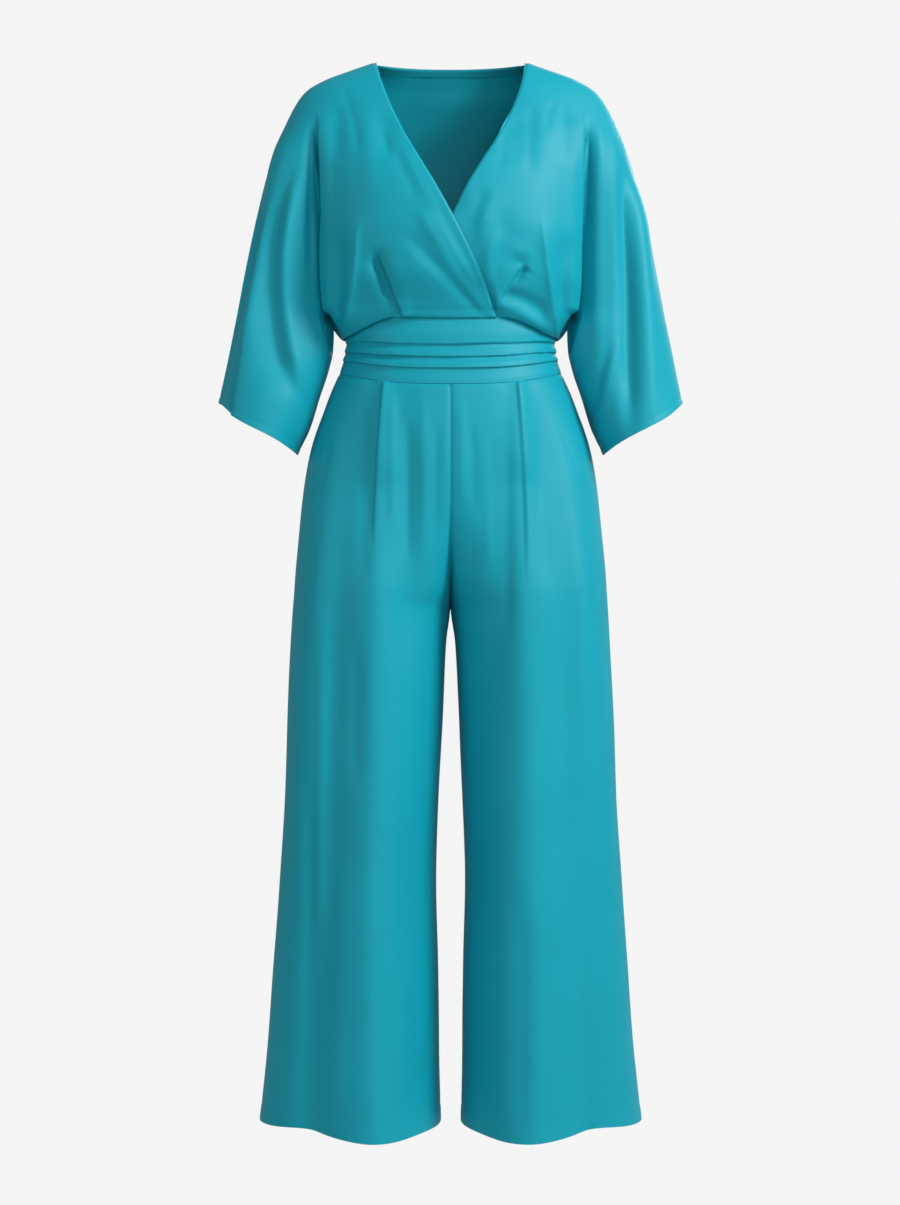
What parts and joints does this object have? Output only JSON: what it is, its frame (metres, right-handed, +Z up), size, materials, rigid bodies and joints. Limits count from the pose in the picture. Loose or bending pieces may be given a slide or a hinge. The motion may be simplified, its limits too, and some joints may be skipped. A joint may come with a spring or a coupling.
{
  "type": "jumpsuit",
  "caption": "Hollow worn jumpsuit with a wrap V bodice, sleeves cut in one, a tucked waistband and wide legs.",
  "frame": {"origin": "midway between the two neck points of the shoulder seams, where the wearer holds it up", "axes": "+X to the viewer's right, +Y towards the back, +Z up"},
  "size_m": [0.6252, 0.2782, 1.4203],
  "materials": {
    "satin_crepe": "soft satin sheen",
    "neck_band_crepe": "matt inside"
  },
  "bodies": {
    "root": {"bodice_front_over": "satin_crepe", "bodice_front_under": "satin_crepe", "bodice_back": "satin_crepe", "back_neck_band": "neck_band_crepe", "waistband_front": "satin_crepe", "waistband_back": "satin_crepe", "trouser_front_right": "satin_crepe", "trouser_front_left": "satin_crepe", "trouser_back_right": "satin_crepe", "trouser_back_left": "satin_crepe"}
  },
  "joints": []
}
